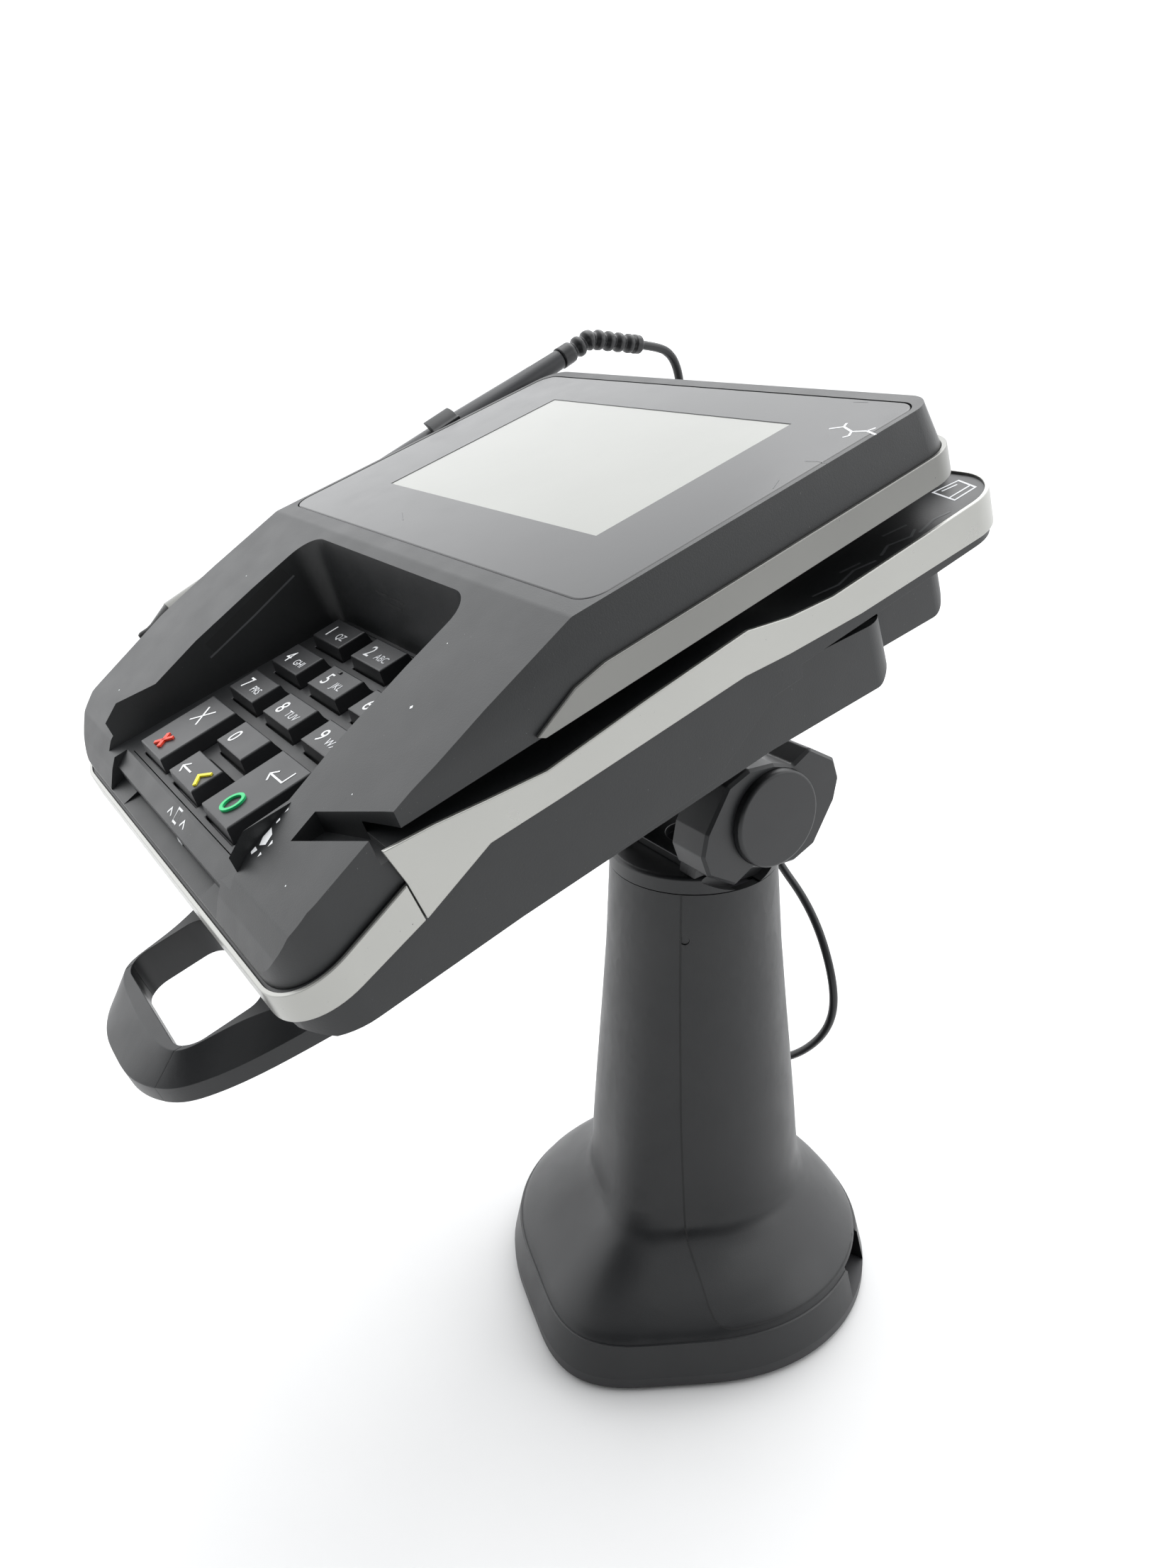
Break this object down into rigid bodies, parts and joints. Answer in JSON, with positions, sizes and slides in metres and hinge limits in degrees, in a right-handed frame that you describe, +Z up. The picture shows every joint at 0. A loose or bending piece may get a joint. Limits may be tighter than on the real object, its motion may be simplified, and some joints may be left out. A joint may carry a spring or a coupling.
{
  "type": "card payment terminal",
  "caption": "Countertop card payment terminal with a display, sprung keypad, card slots and corded stylus, on a pole stand that swivels and tilts under a friction knob.",
  "frame": {"origin": "on the counter, at the middle of the column", "axes": "+X to the user's right, -Y towards the user, +Z up; the base's nose points 22 degrees to the right of -Y, seen from above, under the terminal"},
  "size_m": [0.1652, 0.2253, 0.2828],
  "materials": {
    "casing": "fine-textured satin moulding",
    "stand_black": "satin moulding",
    "silver_trim": "satin silver paint, lightly worn",
    "screen_surround": "semi-gloss, lightly scratched",
    "screen_pane": "pale unlit display under a clear pane",
    "display_module": "smooth",
    "keypad_black": "satin",
    "key_grey": "satin with pale lettering",
    "silicone": "smooth silicone",
    "circuit_board": "solder mask",
    "reader_metal": "pressed sheet",
    "engineering_plastic": "plain",
    "steel": "plated",
    "steel_dark": "powder coat",
    "rubber_black": "matt",
    "cord_black": "satin sheath",
    "stylus_body": "satin",
    "stylus_tip_black": "smooth"
  },
  "bodies": {
    "stand": {"foot_pad": "rubber_black", "base_plate": "steel_dark", "base_shell": "stand_black", "rear_cover": "stand_black", "pole": "steel_dark", "flange_screws": "steel", "column_bush": "engineering_plastic", "cover_lock": "stand_black"},
    "swivel": {"swivel_collar": "stand_black", "yoke": "stand_black", "friction_washers": "engineering_plastic", "axle_nut": "stand_black"},
    "knob": {"tilt_knob": "stand_black", "knob_cap": "stand_black", "tilt_axle": "steel"},
    "terminal": {"head_housing": "casing", "lower_housing": "casing", "cradle": "casing", "cable_cover": "casing", "upper_trim": "silver_trim", "side_trim": "silver_trim", "front_trim": "silver_trim", "screen_bezel": "screen_surround", "touch_panel": "screen_pane", "lcd_panel": "display_module", "keypad_frame": "keypad_black", "key_membrane": "silicone", "key_board": "circuit_board", "chip_reader": "reader_metal", "main_board": "circuit_board", "shield_can": "reader_metal", "speaker": "engineering_plastic", "magnetic_head": "reader_metal", "housing_screws": "steel", "bracket_screws": "steel", "tilt_bracket": "stand_black", "handle_frame": "stand_black", "handle_grip": "stand_black", "stylus_holder": "casing", "cord_clip": "stand_black", "cord_plug": "cord_black", "stylus_cord_upper": "cord_black", "stylus_cord_lower": "cord_black"},
    "stylus": {"stylus_nib": "stylus_tip_black", "stylus_sleeve": "silver_trim", "stylus_barrel": "stylus_body", "strain_relief": "cord_black"},
    "key_0": {"key_0": "key_grey"},
    "key_1": {"key_1": "key_grey"},
    "key_2": {"key_2": "key_grey"},
    "key_3": {"key_3": "key_grey"},
    "key_4": {"key_4": "key_grey"},
    "key_5": {"key_5": "key_grey"},
    "key_6": {"key_6": "key_grey"},
    "key_7": {"key_7": "key_grey"},
    "key_8": {"key_8": "key_grey"},
    "key_9": {"key_9": "key_grey"},
    "key_clear": {"key_clear": "key_grey"},
    "key_cancel": {"key_cancel": "key_grey"},
    "key_enter": {"key_enter": "key_grey"}
  },
  "joints": [
    {"name": "swivel_turn", "type": "hinge", "parent": "stand", "child": "swivel", "pos_m": [0, 0, 0.142], "axis": [0, 0, 1], "range_deg": [-170, 170]},
    {"name": "tilt", "type": "hinge", "parent": "swivel", "child": "terminal", "pos_m": [0, 0, 0.166], "axis": [1, 0, 0], "range_deg": [-10, 40], "deforming": ["stylus_cord_lower"]},
    {"name": "knob_turn", "type": "hinge", "parent": "swivel", "child": "knob", "pos_m": [0.02, 0, 0.166], "axis": [1, 0, 0], "continuous": true},
    {"name": "stylus_lift", "type": "slide", "parent": "terminal", "child": "stylus", "axis": [-0.7071, -0.2208, 0.6717], "range_m": [0, 0.012], "deforming": ["stylus_cord_upper"]},
    {"name": "press_0", "type": "slide", "parent": "terminal", "child": "key_0", "axis": [0, 0.3584, -0.9336], "range_m": [0, 0.0008], "stiffness_N_per_m": 900, "springref_m": -0.0002},
    {"name": "press_1", "type": "slide", "parent": "terminal", "child": "key_1", "axis": [0, 0.3584, -0.9336], "range_m": [0, 0.0008], "stiffness_N_per_m": 900, "springref_m": -0.0002},
    {"name": "press_2", "type": "slide", "parent": "terminal", "child": "key_2", "axis": [0, 0.3584, -0.9336], "range_m": [0, 0.0008], "stiffness_N_per_m": 900, "springref_m": -0.0002},
    {"name": "press_3", "type": "slide", "parent": "terminal", "child": "key_3", "axis": [0, 0.3584, -0.9336], "range_m": [0, 0.0008], "stiffness_N_per_m": 900, "springref_m": -0.0002},
    {"name": "press_4", "type": "slide", "parent": "terminal", "child": "key_4", "axis": [0, 0.3584, -0.9336], "range_m": [0, 0.0008], "stiffness_N_per_m": 900, "springref_m": -0.0002},
    {"name": "press_5", "type": "slide", "parent": "terminal", "child": "key_5", "axis": [0, 0.3584, -0.9336], "range_m": [0, 0.0008], "stiffness_N_per_m": 900, "springref_m": -0.0002},
    {"name": "press_6", "type": "slide", "parent": "terminal", "child": "key_6", "axis": [0, 0.3584, -0.9336], "range_m": [0, 0.0008], "stiffness_N_per_m": 900, "springref_m": -0.0002},
    {"name": "press_7", "type": "slide", "parent": "terminal", "child": "key_7", "axis": [0, 0.3584, -0.9336], "range_m": [0, 0.0008], "stiffness_N_per_m": 900, "springref_m": -0.0002},
    {"name": "press_8", "type": "slide", "parent": "terminal", "child": "key_8", "axis": [0, 0.3584, -0.9336], "range_m": [0, 0.0008], "stiffness_N_per_m": 900, "springref_m": -0.0002},
    {"name": "press_9", "type": "slide", "parent": "terminal", "child": "key_9", "axis": [0, 0.3584, -0.9336], "range_m": [0, 0.0008], "stiffness_N_per_m": 900, "springref_m": -0.0002},
    {"name": "press_clear", "type": "slide", "parent": "terminal", "child": "key_clear", "axis": [0, 0.3584, -0.9336], "range_m": [0, 0.0008], "stiffness_N_per_m": 900, "springref_m": -0.0002},
    {"name": "press_cancel", "type": "slide", "parent": "terminal", "child": "key_cancel", "axis": [0, 0.3584, -0.9336], "range_m": [0, 0.0008], "stiffness_N_per_m": 900, "springref_m": -0.0002},
    {"name": "press_enter", "type": "slide", "parent": "terminal", "child": "key_enter", "axis": [0, 0.3584, -0.9336], "range_m": [0, 0.0008], "stiffness_N_per_m": 900, "springref_m": -0.0002}
  ]
}
